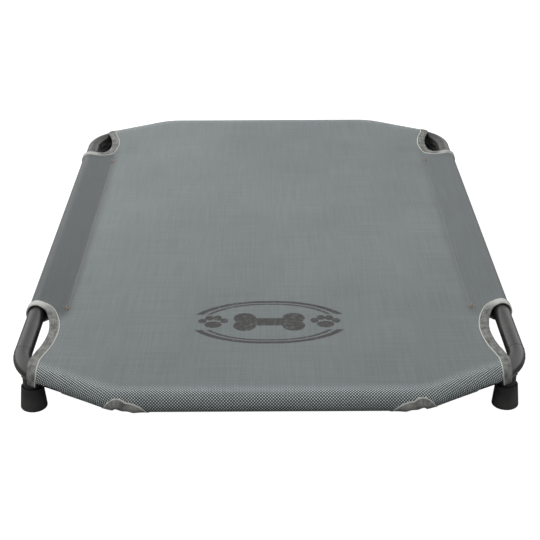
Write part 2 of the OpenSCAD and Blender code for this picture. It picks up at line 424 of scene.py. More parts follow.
@dataclass(frozen=True)
class BoneAndPaws:
    """A generic printed motif: a bone between two paw marks, in an open oval of two thin lines."""

    centre_y: float
    oval: tuple[float, float] = (84 * MM, 50 * MM)
    inner_oval: float = 0.88
    line: float = 2.4 * MM
    gap: float = 19 * MM
    bone: tuple[float, float] = (27 * MM, 9 * MM)
    knob_r: float = 12.5 * MM
    paw_x: float = 62 * MM
    pad: tuple[float, float] = (-6 * MM, 9.5 * MM)
    toes: tuple[tuple[float, float, float], ...] = (
        (-12 * MM, 3 * MM, 4.6 * MM), (-4.5 * MM, 10 * MM, 4.8 * MM),
        (4.5 * MM, 10 * MM, 4.8 * MM), (12 * MM, 3 * MM, 4.6 * MM))

    def mask(self, n: Nodes) -> bpy.types.NodeSocket:
        """Adds the motif's mask to a material.

        Args:
            n: The material's builder.

        Returns:
            A socket that is 1 on the print.
        """
        place = n.split(n.add("TexCoord").outputs["Object"])
        x = n.math("ABSOLUTE", place[0])
        y = n.math("SUBTRACT", place[1], self.centre_y)
        up = n.math("ABSOLUTE", y)

        def blob(cx: float, cy: float, r: float, height: object = y,
                 flat: float = 1.0) -> bpy.types.NodeSocket:
            """Distance below 0 inside a round spot.

            Args:
                cx: The spot's X.
                cy: Its height.
                r: Its radius.
                height: The height that is read.
                flat: How much the spot is flattened.

            Returns:
                The distance's socket.
            """
            dx = n.math("SUBTRACT", x, cx)
            dy = n.math("MULTIPLY", n.math("SUBTRACT", height, cy), flat)
            return n.math("SUBTRACT", n.length(dx, dy), r)

        bar = n.math("MAXIMUM", n.math("SUBTRACT", x, self.bone[0]),
                     n.math("SUBTRACT", up, self.bone[1]))
        shape = n.math("MINIMUM", bar, blob(self.bone[0], self.bone[1], self.knob_r, up))
        shape = n.math("MINIMUM", shape, blob(self.paw_x, *self.pad, y, 1.2))
        for dx, dy, r in self.toes:
            shape = n.math("MINIMUM", shape, blob(self.paw_x + dx, dy, r, y, 0.8))
        radius = n.length(*(n.math("DIVIDE", *pair) for pair in zip((x, y), self.oval)))
        for size in (1.0, self.inner_oval):
            ring = n.math("MULTIPLY", n.math("ABSOLUTE", n.math("SUBTRACT", radius, size)),
                          self.oval[1])
            ring = n.math("SUBTRACT", ring, self.line * size ** 4)
            gap = n.math("SUBTRACT", self.gap, up)
            shape = n.math("MINIMUM", shape, n.math("MAXIMUM", ring, gap))
        return n.ramp(shape, 0.4 * MM, -0.4 * MM)


@dataclass(frozen=True)
class MeshFabric:
    """Coated mesh: pale yarns over dark ones in a plain weave, with a print that shows wear. One
    attribute is 1 where a rail is behind the cloth: there the dark yarns are darker, as the rail
    shows through the holes, and the pale yarns are much paler, a painted highlight. Another is 1
    where a second layer is, and in between where the cloth is darkened by painted shade. The
    numbers of pale and dark are the greys of a single layer, of two layers and of a backed one."""

    motif: BoneAndPaws
    name: str = "woven_mesh_grey"
    cell: float = 1.56 * MM
    tint: float = -0.115
    # The third pale grey, where a rail is behind, is a painted highlight on the yarns' tops.
    pale: tuple[float, float, float] = (0.225, 0.12, 0.62)
    dark: tuple[float, float, float] = (0.155, 0.085, 0.045)
    ink: float = 0.03

    def make(self) -> bpy.types.Material:
        """Makes the material.

        Returns:
            The material.
        """
        n = Nodes(self.name)
        uv = n.add("UVMap", uv_map="flat").outputs[0]
        rail_behind_and_highlight, double = n.painted("rail_behind_and_highlight"), n.painted("double")
        waves = [n.math("SINE", n.math("MULTIPLY", part, math.pi / self.cell))
                 for part in n.split(uv)[:2]]
        weave = n.math("MULTIPLY", *waves)
        floats = n.ramp(weave, 0.12, 0.42)
        across = n.noise(1.0, 2, uv, (12, 420, 1))
        along = n.noise(1.0, 2, uv, (420, 12, 1))
        clouds = n.noise(9, 4)
        tone = n.math("ADD", n.math("MULTIPLY", n.math("ADD", across, along), 0.35), 0.65)
        tone = n.math("MULTIPLY", tone, n.ramp(clouds, 0.25, 0.75, 0.94, 1.06))
        # Dark yarns are darker where a rail shows through. Painted shade: the second layer's value
        # darkens the side strips, the left more, and the deck towards its ends.
        low, high = (n.mix(rail_behind_and_highlight, n.mix(double, *(grey(v, self.tint) for v in shades[:2])),
                           grey(shades[2], self.tint)) for shades in (self.dark, self.pale))
        # Where a rail is behind, the pale yarns carry a painted highlight.
        colour = n.mix(1.0, n.mix(floats, low, high), tone, "MULTIPLY")
        upward = n.split(n.add("NewGeometry").outputs["Normal"])[2]
        wear_and_highlight = n.ramp(n.noise(260, 3), 0.32, 0.5, 0.6, 0.97)
        printed = n.math("MULTIPLY", n.math("MULTIPLY", self.motif.mask(n), wear_and_highlight),
                         n.ramp(upward, 0.2, 0.5))
        colour = n.mix(printed, colour, grey(self.ink, 0.06))
        height = n.math("POWER", n.math("ABSOLUTE", weave), 0.6)
        strength = n.math("MULTIPLY", height, n.ramp(rail_behind_and_highlight, 0, 1, 0.4, 1.0))
        rough = n.ramp(weave, -0.3, 0.5, 0.52, 0.42)
        return n.finish(Base_Color=colour, Roughness=rough, Specular_IOR_Level=0.45,
                        Normal=n.bump(strength, 0.5, 0.25 * MM))


@dataclass(frozen=True)
class BindingTape:
    """Woven binding tape: fine ribs, a paler inner border, a painted highlight where the tape lies
    over the side rails' tops, and paler folded patches on the notch tapes. One attribute is 1
    where the tape is painted pale."""

    name: str = "binding_tape_grey"
    pale: float = 0.27
    deep: float = 0.10
    # Grey of the pale border, the notch patches and the painted highlight.
    pale_and_highlight: float = 0.60
    rib: float = 1.1 * MM
    cord: float = 1.9 * MM

    def shade(self, value: float) -> tuple[float, float, float, float]:
        """The tape's grey, which is a little greener than the thread."""
        return (value * 0.98, value, value * 0.95, 1.0)

    def make(self) -> bpy.types.Material:
        """Makes the material.

        Returns:
            The material.
        """
        n = Nodes(self.name)
        uv = n.add("UVMap", uv_map="flat").outputs[0]
        parts = n.split(uv)
        ribs, cords = (n.math("SINE", n.math("MULTIPLY", part, 2 * math.pi / pitch))
                       for part, pitch in zip(parts, (self.rib, self.cord)))
        streaks = n.noise(1.0, 3, uv, (60, 900, 1))
        clouds = n.noise(150, 3)
        tone = n.math("ADD", n.math("MULTIPLY", streaks, 0.5), n.math("MULTIPLY", clouds, 0.5))
        colour = n.mix(n.ramp(tone, 0.36, 0.62), self.shade(self.deep), self.shade(self.pale))
        # Painted highlight over the side rails' tops, and paler patches on the notch tapes.
        colour = n.mix(n.painted("wear_and_highlight"), colour, self.shade(self.pale_and_highlight))
        border = n.math("ABSOLUTE", n.math("SUBTRACT", parts[1], 0.9 * MM))
        colour = n.mix(n.ramp(border, 0.9 * MM, 0.4 * MM), colour, self.shade(self.pale_and_highlight))
        colour = n.mix(n.ramp(ribs, -1, 1, 0.0, 0.28), colour, self.shade(self.deep * 0.5))
        height = n.math("ADD", n.math("MULTIPLY", ribs, 0.5), n.math("MULTIPLY", cords, 0.6))
        return n.finish(Base_Color=colour, Roughness=0.8, Normal=n.bump(height, 0.6, 0.2 * MM),
                        Specular_IOR_Level=0.3)


@dataclass(frozen=True)
class Thread:
    """Sewing thread with a twist."""

    name: str = "sewing_thread"
    tint: tuple[float, float, float, float] = (0.47, 0.44, 0.38, 1)

    def make(self) -> bpy.types.Material:
        """Makes the material.

        Returns:
            The material.
        """
        n = Nodes(self.name)
        twist = n.noise(2500, 2)
        dark = tuple(0.6 * c for c in self.tint[:3]) + (1.0,)
        colour = n.mix(n.ramp(twist, 0.35, 0.65), dark, self.tint)
        return n.finish(Base_Color=colour, Roughness=0.6, Normal=n.bump(twist, 0.3, 0.1 * MM))


# --- Meshes -------------------------------------------------------------------------------

StitchPlace = tuple[Vector, Vector, Vector]


def piece_from(name: str, points: np.ndarray, faces: list[tuple[int, ...]],
               flat: np.ndarray | None, material: bpy.types.Material) -> bpy.types.Object:
    """Makes a smooth mesh piece at the origin.

    Args:
        name: The piece's name.
        points: Its points.
        faces: Indices of the points round each face.
        flat: Flat place of each point, for the weave, or None.
        material: Its finish.

    Returns:
        The piece.
    """
    mesh = bpy.data.meshes.new(name)
    mesh.from_pydata([tuple(p) for p in points], [], faces)
    if flat is not None:
        layer = mesh.uv_layers.new(name="flat")
        corners = np.zeros(len(mesh.loops), dtype=np.int32)
        mesh.loops.foreach_get("vertex_index", corners)
        layer.data.foreach_set("uv", flat[corners].astype(np.float32).ravel())
    mesh.materials.append(material)
    mesh.shade_smooth()
    mesh.validate()
    piece = bpy.data.objects.new(name, mesh)
    bpy.context.scene.collection.objects.link(piece)
    return piece


def paint(piece: bpy.types.Object, name: str, values: np.ndarray) -> None:
    """Gives the points of a piece an attribute, which its finish reads."""
    layer = piece.data.attributes.new(name, "FLOAT", "POINT")
    layer.data.foreach_set("value", values.astype(np.float32))


def select_only(piece: bpy.types.Object) -> None:
    """Makes a piece the only selected and active one.

    Args:
        piece: The piece.
    """
    bpy.ops.object.select_all(action="DESELECT")
    piece.select_set(True)
    bpy.context.view_layer.objects.active = piece


def smooth_line(points: list[tuple[float, float]], pitch: float) -> np.ndarray:
    """A smooth line through points, at an even pitch.

    Args:
        points: The points that the line passes.
        pitch: Wanted spacing along the line.

    Returns:
        The line's points.
    """
    p = np.array(points, dtype=float)
    padded = np.vstack([2 * p[0] - p[1], p, 2 * p[-1] - p[-2]])
    fine = []
    for k in range(len(p) - 1):
        a, b, c, d = padded[k:k + 4]
        for t in np.linspace(0, 1, 40, endpoint=False):
            fine.append(0.5 * (2 * b + (c - a) * t + (2 * a - 5 * b + 4 * c - d) * t * t
                               + (3 * b - a - 3 * c + d) * t ** 3))
    fine.append(p[-1])
    line = np.array(fine)
    run = np.concatenate([[0], np.cumsum(np.linalg.norm(np.diff(line, axis=0), axis=1))])
    marks = np.linspace(0, run[-1], max(2, round(run[-1] / pitch) + 1))
    return np.column_stack([np.interp(marks, run, line[:, k]) for k in (0, 1)])


def inside_outline(points: np.ndarray, outline: np.ndarray) -> np.ndarray:
    """Which points lie inside a closed outline.

    Args:
        points: The points.
        outline: The outline's corners.

    Returns:
        True for each point inside.
    """
    x, y = points[:, 0], points[:, 1]
    result = np.zeros(len(points), dtype=bool)
    for (x0, y0), (x1, y1) in zip(outline, np.roll(outline, -1, axis=0)):
        if y0 == y1:
            continue
        crosses = (y0 > y) != (y1 > y)
        result ^= crosses & (x < x0 + (y - y0) * (x1 - x0) / (y1 - y0))
    return result


@dataclass(frozen=True)
class CoverSurface:
    """The middle surface of the cover. A place on it is (x, v), as on the cloth before it is
    wrapped: x from the bed's middle and v from the front rail's axis. Past an end rail's top the
    cloth goes round the rail, and past a side seam it goes round the side rail."""

    sizes: BedSizes
    path: EndPath
    flap: float = 50 * MM
    mouth: float = 1.3 * MM
    slack: float = 1.5 * MM
    hang_from: float = 212 * MM
    hang_at: float = 236 * MM

    @property
    def roll_r(self) -> float:
        """Radius of the cloth's middle round a rail."""
        return self.sizes.sleeve_r - self.sizes.fabric / 2

    @property
    def sleeve_length(self) -> float:
        """Length of cloth from a side seam round the rail and back to the seam."""
        straight, top, bottom = self._drop()
        return 2 * straight + self.roll_r * (top - bottom)

    def from_end(self, v: np.ndarray) -> tuple[np.ndarray, np.ndarray]:
        """Which places are in the front half, and how far each is from its end rail's axis."""
        front = v < self.sizes.length / 2
        return front, np.where(front, v, self.sizes.length - v)

    def _drop(self) -> tuple[float, float, float]:
        """Straight length of a side sleeve, and the angles where it meets and leaves the rail.

        Returns:
            The length and the two angles.
        """
        s = self.sizes
        reach, rise = s.half_span - s.seam_x, s.deck_z - s.rail_z
        far = math.hypot(reach, rise)
        seam_angle = math.pi - math.atan2(rise, reach)
        spread = math.acos(self.roll_r / far)
        straight = math.sqrt(far ** 2 - self.roll_r ** 2)
        return straight, seam_angle - spread, seam_angle + spread - 2 * math.pi

    def round_side(self, q: np.ndarray, flare: np.ndarray) -> tuple[np.ndarray, np.ndarray]:
        """Place round a side rail.

        Args:
            q: Lengths of cloth past the seam.
            flare: How much looser the cloth is than where it is tight.

        Returns:
            X and Z of the cloth.
        """
        s = self.sizes
        straight, top, bottom = self._drop()
        angle = np.clip(top - (q - straight) / self.roll_r, bottom, top)
        x = s.half_span + (self.roll_r + flare) * np.cos(angle)
        z = s.rail_z + (self.roll_r + flare) * np.sin(angle)
        first = np.clip(1 - q / straight, 0, 1)
        last = np.clip((q - straight - self.roll_r * (top - bottom)) / straight, 0, 1)
        back = first + last
        seam_z = s.deck_z - 1.2 * s.fabric * last
        return x + (s.seam_x - x) * back, z + (seam_z - z) * back

    def place(self, x: np.ndarray, v: np.ndarray) -> np.ndarray:
        """Place of the cloth on the bed.

        Args:
            x: Distances from the middle, all 0 or more.
            v: Distances from the front rail's axis.

        Returns:
            The points.
        """
        s, r = self.sizes, self.roll_r
        front, u = self.from_end(v)
        depth, slope = self.path.depth(x), self.path.slope(x)
        t = depth - u
        # The deck, which runs up to the top of the end rails.
        back = np.maximum(-t, 0) * np.cos(slope)
        fade = 66 * MM + 74 * MM * np.cos(np.clip(x / s.seam_x, 0, 1) * math.pi / 2)
        sleeve = np.where(front, s.front_sleeve_end, s.rear_sleeve_end)
        closed = ease(u - sleeve, -38 * MM, 2 * MM)
        lift = np.exp(-(back / fade) ** 1.5) * (1 - closed * ease(x, 0.7 * s.seam_x, s.seam_x))
        sag = 0.5 * MM * np.sin(v * 31 + 1.3) * np.sin(x * 37 + 0.4) * ease(back, 0, 80 * MM)
        sag *= 1 - ease(x, 0.8 * s.seam_x, s.seam_x)
        z = s.deck_z + (s.rail_z + r - s.deck_z) * lift + sag
        # The side sleeves.
        flare = self.mouth * (1 - ease(u - sleeve, 4 * MM, 26 * MM))
        sx, sz = self.round_side(np.maximum(x - s.seam_x, 0), flare)
        share = np.where(x > s.seam_x, closed, 0)
        px = x + (sx - x) * share
        z = z + (sz - z) * share
        # The end rolls, as sections of the rail at one x.
        angle = np.clip(t / r, 0, math.pi)
        long_r = r / np.cos(slope)
        loose = 1 + self.slack / r * ease(angle, 1.2, 2.4) * (1 - ease(x, 125 * MM, 190 * MM))
        roll_y = depth - long_r * loose * np.sin(angle)
        roll_z = s.rail_z + r * loose * np.cos(angle)
        past = np.clip(t - math.pi * r, 0, None)
        under_z = s.deck_z - 1.5 * s.fabric
        roll_y = roll_y + past
        roll_z = roll_z + (under_z - roll_z) * ease(past, 0, self.flap)
        hang = ease(x, self.hang_from, self.hang_at) * (t > r * math.pi / 2)
        hang_y = depth - long_r - 0.03 * (t - r * math.pi / 2)
        hang_z = s.rail_z - (t - r * math.pi / 2)
        roll_y = roll_y + (hang_y - roll_y) * hang
        roll_z = roll_z + (hang_z - roll_z) * hang
        y = np.where(t > 0, roll_y, u)
        z = np.where(t > 0, roll_z, z)
        y = np.where(front, y, s.length - y)
        return np.column_stack([px, y + s.front_y, z])

    def normal(self, x: np.ndarray, v: np.ndarray) -> np.ndarray:
        """Direction out of the cloth.

        Args:
            x: Distances from the middle.
            v: Distances from the front rail's axis.

        Returns:
            Unit vectors.
        """
        e = 0.3 * MM
        along_x = self.place(np.abs(x + e), v) - self.place(np.maximum(x - e, 0), v)
        along_v = self.place(x, v + e) - self.place(x, v - e)
        n = np.cross(along_x, along_v)
        return n / np.maximum(np.linalg.norm(n, axis=1, keepdims=True), 1e-12)

    def layers(self, x: np.ndarray, v: np.ndarray) -> dict[str, np.ndarray]:
        """What is behind the cloth, which shows through the holes of the mesh, with painted shade.
        The second layer's value also carries painted shade: the right side strip gets less of it
        than the left, so the left strip is darker, and the deck is darkened towards each end, more
        at the front.

        Args:
            x: Places across the cloth, below 0 on the left.
            v: Distances from the front rail's axis.

        Returns:
            How far a rail backs the cloth, which also paints the pale yarns paler as a highlight,
            and how far a second layer or painted shade darkens it, each from 0 to 1.
        """
        s = self.sizes
        front, u = self.from_end(v)
        away = np.abs(x)
        back = np.maximum(u - self.path.depth(away), 0) * np.cos(self.path.slope(away))
        q = away - s.seam_x
        sleeve = np.where(front, s.front_sleeve_end, s.rear_sleeve_end)
        sleeved = ease(u - sleeve, -38 * MM, 2 * MM)
        # Second layer on the side strips; the right one gets less, so the left one is darker:
        # painted shade.
        side = sleeved * ease(q, -14 * MM, 3 * MM) * np.where(x < 0, 1.0, 0.6)
        # Painted shade on the deck: darker towards each end, more at the front.
        deck = np.where(front, 0.3, 0.15) * (1 - ease(back, 0, 420 * MM))
        return {"rail_behind_and_highlight": 1 - ease(back, -1 * MM, 15 * MM), "double": np.maximum(side, deck)}

    def flat(self, x: np.ndarray, v: np.ndarray) -> np.ndarray:
        """Place on the flat cloth, which the weave follows.

        Args:
            x: Distances from the middle.
            v: Distances from the front rail's axis.

        Returns:
            Flat places, two numbers each.
        """
        s, r = self.sizes, self.roll_r
        front, u = self.from_end(v)
        depth, slope = self.path.depth(x), self.path.slope(x)
        t = np.maximum(depth - u, 0)
        angle = np.clip(t / r, 0, math.pi)
        past = np.clip(t - math.pi * r, 0, None)
        out = r * angle + past * np.cos(slope)
        slide = past * np.sin(slope) - r * np.tan(slope) * np.sin(angle)
        fx = np.where(t > 0, x + np.cos(slope) * slide + np.sin(slope) * out, x)
        fu = np.where(t > 0, depth + np.sin(slope) * slide - np.cos(slope) * out, u)
        return np.column_stack([fx, np.where(front, fu, s.length - fu)])


# --- The cover ----------------------------------------------------------------------------


@dataclass(frozen=True)
class CornerEdge:
    """The cover's curved edge at a corner, from the loose hem in front of the leg, over the end
    rail, along the opening and round the side rail to the seam. The points are (x, u), with u from
    the end rail's axis."""

    end: End
    surface: CoverSurface
    reach: float
    waist: float
    deepest: float

    def line(self, pitch: float) -> np.ndarray:
        """The free edge at an even pitch, as (x, u).

        Args:
            pitch: Spacing along the edge.

        Returns:
            The points.
        """
        s = self.surface.sizes
        over = float(self.surface.path.depth(np.array([self.reach]))[0])
        hem = over - self.surface.roll_r * math.pi / 2 - (s.rail_z - s.hem_z)
        end = s.sleeve_end(self.end)
        top = s.half_span
        waist, deep = self.waist, self.deepest
        points = [
            (self.reach, hem), (self.reach, over - 12 * MM), (self.reach, over + 3 * MM),
            (self.reach - 0.28 * (self.reach - waist), over + 0.25 * (deep - over)),
            (waist + 0.22 * (self.reach - waist), over + 0.6 * (deep - over)),
            (waist, deep),
            (waist + 0.06 * (top - waist), deep + 0.35 * (end - deep)),
            (waist + 0.24 * (top - waist), deep + 0.66 * (end - deep)),
            (waist + 0.55 * (top - waist), deep + 0.91 * (end - deep)),
            (top - 1 * MM, end), (top + 12 * MM, end),
            (top + 30 * MM, end), (s.seam_x + self.surface.sleeve_length - 2 * MM, end),
        ]
        return smooth_line(points, pitch)


def inward(line: np.ndarray) -> np.ndarray:
    """Unit vectors to the left of a line's run, which is the cloth's side of a corner edge.

    Args:
        line: Points of the line.

    Returns:
        The vectors.
    """
    run = np.gradient(line, axis=0)
    run /= np.maximum(np.linalg.norm(run, axis=1, keepdims=True), 1e-12)
    return np.column_stack([-run[:, 1], run[:, 0]])


class Cover:
    """The mesh cover: one cloth round all four rails."""

    def __init__(self, surface: CoverSurface, edges: dict[End, CornerEdge],
                 notches: list["Notch"], fabric: bpy.types.Material) -> None:
        """Keeps what the cover is built from.

        Args:
            surface: Where the cloth lies.
            edges: The corner edges of each end.
            notches: The notches in the end rolls.
            fabric: The finish.
        """
        self.surface = surface
        self.edges = edges
        self.notches = notches
        self.fabric = fabric
        self.full_cut = math.pi * surface.roll_r + surface.flap
        self.cut = (0.0, 0.0)
        self.area = 0.0

    def bound(self, end: End) -> np.ndarray:
        """The cloth's edge at a corner, as (x, u), under the middle of the tape."""
        edge = self.edges[end].line(3 * MM)
        return edge + 0.45 * self.surface.sizes.tape_width * inward(edge)

    def cut_length(self, end: End, x: np.ndarray) -> np.ndarray:
        """Length of the cloth past the top of an end rail: the flap, or by the legs the hem.

        Args:
            end: The end of the bed.
            x: Distances from the middle.

        Returns:
            The lengths.
        """
        surface, hem_at = self.surface, self.bound(end)[0]
        hem = float(surface.path.depth(hem_at[:1])[0]) - hem_at[1]
        share = ease(x, 186 * MM, surface.hang_from + 4 * MM)
        return self.full_cut + (hem - self.full_cut) * share

    def rows(self, x: np.ndarray, v: np.ndarray) -> np.ndarray:
        """Bends straight rows of the mesh so that they follow the end rails and the flaps' edges.

        Args:
            x: Distances from the middle.
            v: Distances of the rows from the front rail's axis, at the bed's middle.

        Returns:
            The rows' own distances from the front rail's axis.
        """
        surface, s = self.surface, self.surface.sizes
        depth = surface.path.depth(np.minimum(x, s.seam_x))
        front, u = surface.from_end(v)
        cut = np.where(front, self.cut_length(End.FRONT, x), self.cut_length(End.REAR, x))
        past = depth + u * cut / self.full_cut
        inner = u + depth * np.clip(1 - u / (180 * MM), 0, 1) ** 1.5
        u = np.where(u < 0, past, inner)
        return np.where(front, u, s.length - u)

    def outline(self, end: End) -> np.ndarray:
        """Outline of a quarter of the cloth, as (x, u).

        Args:
            end: The end of the bed.

        Returns:
            The outline's corners.
        """
        s, path, middle = self.surface.sizes, self.surface.path, self.bound(end)
        x = np.linspace(0, middle[0, 0], 60)
        flap = np.column_stack([x, path.depth(x) - self.cut_length(end, x) - 0.5 * MM])
        wide = s.seam_x + self.surface.sleeve_length
        tail = np.array([[wide, middle[-1, 1]], [wide, s.length], [0, s.length]])
        flap[0, 0] = -1 * MM
        tail[-1, 0] = -1 * MM
        return np.vstack([flap, middle, tail])

    def kept(self, x: np.ndarray, v: np.ndarray) -> np.ndarray:
        """Which places are cloth, and not cut away.

        Args:
            x: Distances from the middle.
            v: Distances from the front rail's axis.

        Returns:
            True for each place that is cloth.
        """
        front, u = self.surface.from_end(v)
        points = np.column_stack([x, u])
        inside = np.where(front, *(inside_outline(points, self.outline(end)) for end in End))
        for notch in self.notches:
            near = front if notch.end is End.FRONT else ~front
            inside &= ~(near & notch.covers(x, u, 0.5))
        return inside

    def build(self) -> bpy.types.Object:
        """Builds the cloth and gives it its thickness. Its mesh is coarse in the middle of the
        deck and fine at the corners, the notches and the rolls.

        Returns:
            The piece.
        """
        surface, s = self.surface, self.surface.sizes
        wide = s.seam_x + surface.sleeve_length
        fine, finer, tight, inner = 130 * MM, 200 * MM, 78 * MM, 200 * MM
        x = np.concatenate([steps(0, fine, 10 * MM), steps(fine, finer, 3.5 * MM),
                            steps(finer, s.seam_x, 2.6 * MM),
                            steps(s.seam_x, wide, 2.4 * MM), [wide]])
        near = np.concatenate([steps(-self.full_cut, tight, 2.4 * MM),
                               steps(tight, inner, 3.4 * MM)])
        v = np.concatenate([near, steps(inner, s.length - inner, 12 * MM),
                            (s.length - near)[::-1]])
        x = np.concatenate([-x[:0:-1], x])
        gx, gv = np.meshgrid(x, v)
        away = np.abs(gx)
        gv = self.rows(away, gv)
        points, flat = (lay(away.ravel(), gv.ravel()) for lay in (surface.place, surface.flat))
        sign = np.where(gx.ravel() < 0, -1.0, 1.0)
        points[:, 0] *= sign
        flat[:, 0] *= sign
        centre_x, centre_v = (((grid[:-1, :-1] + grid[1:, 1:]) / 2).ravel() for grid in (gx, gv))
        keep = self.kept(np.abs(centre_x), centre_v)
        index = np.arange(len(points)).reshape(gx.shape)
        quads = np.column_stack([index[:-1, :-1].ravel(), index[:-1, 1:].ravel(),
                                 index[1:, 1:].ravel(), index[1:, :-1].ravel()])[keep]
        used, renumbered = np.unique(quads, return_inverse=True)
        quads = renumbered.reshape(-1, 4)
        piece = piece_from("mesh_cover", points[used], [tuple(q) for q in quads], flat[used],
                           self.fabric)
        for name, values in surface.layers(gx.ravel(), gv.ravel()).items():
            paint(piece, name, values[used])
        corners = flat[used][quads]
        self.area = float(np.abs(np.cross(corners[:, 2] - corners[:, 0],
                                          corners[:, 3] - corners[:, 1])).sum() / 2)
        self.cut = tuple(float(c) for c in np.ptp(flat[used], axis=0))
        log.info("cover: %d quads, flat %.3f x %.3f m, area %.4f m2", len(quads), *self.cut,
                 self.area)
        select_only(piece)
        wall = piece.modifiers.new("thickness", "SOLIDIFY")
        wall.thickness = s.fabric
        wall.offset = 0
        bpy.ops.object.modifier_apply(modifier=wall.name)
        return piece


@dataclass(frozen=True)
class Notch:
    """A bound notch in the underside of an end roll, where the rail bends. Its edge is an arch on
    the unrolled cloth, of which the top points at the bed's top."""

    surface: CoverSurface
    end: End
    centre: float = 145 * MM
    foot: float = 41 * MM
    half: float = 16 * MM
    rise: float = 17 * MM
    tug: float = 5 * MM

    def covers(self, x: np.ndarray, u: np.ndarray, share: float) -> np.ndarray:
        """Which places lie inside the arch, grown by a share of the tape's width.

        Args:
            x: Distances from the middle.
            u: Distances from the end rail's axis.
            share: The share.

        Returns:
            True for each place inside.
        """
        grow = share * self.surface.sizes.tape_width
        t = self.surface.path.depth(x) - u
        across = (x - self.centre) / (self.half + grow)
        up = (t - self.foot) / (self.rise + grow)
        return (across ** 2 + np.minimum(up, 0) ** 2 < 1) & (t < self.foot + 40 * MM) & (t > 0)

    def line(self, pitch: float) -> np.ndarray:
        """The free edge as (x, u), running so that the cloth is on its left.

        Args:
            pitch: Spacing along the edge.

        Returns:
            The points.
        """
        angle = np.linspace(math.pi, 0, 40)
        x = self.centre + self.half * np.cos(angle)
        tug = np.exp(-((x - self.centre - 0.55 * self.half) / (4 * MM)) ** 2)
        t = self.foot - self.rise * np.sin(angle) ** 0.7 - self.tug * tug
        start, stop = ((x[k], self.foot + 9 * MM) for k in (0, -1))
        points = np.array([start, *zip(x, t), stop])
        u = self.surface.path.depth(points[:, 0]) - points[:, 1]
        return smooth_line(list(zip(points[:, 0], u)), pitch)


@dataclass(frozen=True)
class TapeStrip:
    """A tape that is folded over the cloth's edge and stitched along its inner border. Where
    level is 1 the tape is drawn in as it goes round the end rail, and where it is 0 it isn't."""

    surface: CoverSurface
    end: End
    line: np.ndarray
    width: float
    thick: float
    pucker: float
    seed: int
    level: float = 1.0

    @property
    def pitch(self) -> float:
        """Spacing of the stations along the edge."""
        return np.linalg.norm(self.line[1] - self.line[0])

    def lie(self, a: np.ndarray, h: np.ndarray, k: np.ndarray) -> np.ndarray:
        """Place of a point of the tape.

        Args:
            a: Distances from the free edge.
            h: Heights over the cloth's middle.
            k: Stations along the edge.

        Returns:
            The points.
        """
        s = self.surface.sizes
        edge_depth = self.surface.path.depth(self.line[k, 0])
        past_rail = edge_depth - self.line[k, 1]
        a = a * (1 - 0.2 * self.level * ease(past_rail, 8 * MM, 26 * MM))
        flat = self.line[k] + a[:, None] * inward(self.line)[k]
        x = np.maximum(flat[:, 0], 0)
        round_rail = ease(past_rail, -6 * MM, 10 * MM) * self.level
        u = flat[:, 1] + round_rail * (self.surface.path.depth(x) - edge_depth)
        v = u if self.end is End.FRONT else s.length - u
        return self.surface.place(x, v) + h[:, None] * self.surface.normal(x, v)

    def section(self) -> np.ndarray:
        """The tape's section: distance from the free edge and height, once round.

        Returns:
            The section's points.
        """
        w, t = self.width, self.thick / 2
        top = [(w, 0.45 * t), (w - 0.25 * MM, 0.95 * t), (w - 1.2 * MM, 1.1 * t),
               (w - 2.2 * MM, 0.9 * t), (0.55 * w, 1.05 * t), (0.3 * w, 1.1 * t),
               (0.9 * MM, t), (0.25 * MM, 0.6 * t)]
        bottom = [(a, -h) for a, h in reversed(top)]
        return np.array(top + [(0, 0)] + bottom)

    def build(self, name: str, material: bpy.types.Material) -> bpy.types.Object:
        """Builds the tape.

        Args:
            name: The piece's name.
            material: Its finish.

        Returns:
            The piece, for the right side of the bed.
        """
        section, pitch = self.section(), self.pitch
        stations, around = len(self.line), len(section)
        k = np.repeat(np.arange(stations), around)
        a, h = (np.tile(section[:, part], stations) for part in (0, 1))
        phase = self.seed * 1.7
        wave = (np.sin(k * pitch / (3.1 * MM) + phase)
                + 0.6 * np.sin(k * pitch / (1.7 * MM) + 2 * phase))
        h = h + self.pucker * wave * (1 - a / self.width) ** 1.3
        points = self.lie(a, h, k)
        girth = np.cumsum(np.linalg.norm(np.diff(section, axis=0, prepend=section[:1]), axis=1))
        flat = np.column_stack([k * pitch, np.tile(girth, stations)])
        faces = []
        for low in range(0, (stations - 1) * around, around):
            high = low + around
            for j in range(around):
                n = (j + 1) % around
                faces.append((low + j, low + n, high + n, high + j))
        faces.append(tuple(range(around))[::-1])
        faces.append(tuple(range((stations - 1) * around, stations * around)))
        piece = piece_from(name, points, faces, flat, material)
        rail = self.surface.sizes.half_span
        # Painted highlight where the tape lies over the side rail's top, and paler patches on the
        # notch tapes.
        wear_and_highlight = ease(self.line[k, 0], rail - 14 * MM, rail - 2 * MM) * (0.75 + 0.25 * np.sin(k / 9))
        wear_and_highlight += (1 - self.level) * (0.25 + 0.2 * np.sin(k / 4 + a / self.width))
        paint(piece, "wear_and_highlight", wear_and_highlight)
        return piece

    def stitches(self, a: float, lift: float, length: float,
                 gap: float = 0.9 * MM) -> list[StitchPlace]:
        """Places of a row of stitches on the tape.

        Args:
            a: Distance of the row from the free edge.
            lift: Height over the cloth's middle.
            length: Length of a stitch.
            gap: Gap between two stitches.

        Returns:
            Start, end and outward direction of each stitch.
        """
        every = max(1, round((length + gap) / self.pitch))
        last = len(self.line) - 1
        rows = []
        for k in range(1, last - every, every):
            ends = np.array([k, min(last, k + max(1, round(length / self.pitch)))])
            both = self.lie(np.full(2, a), np.full(2, lift), ends)
            above = self.lie(np.full(1, a), np.full(1, 2 * lift), ends[:1])[0]
            rows.append((Vector(both[0]), Vector(both[1]), Vector(above - both[0])))
        return rows


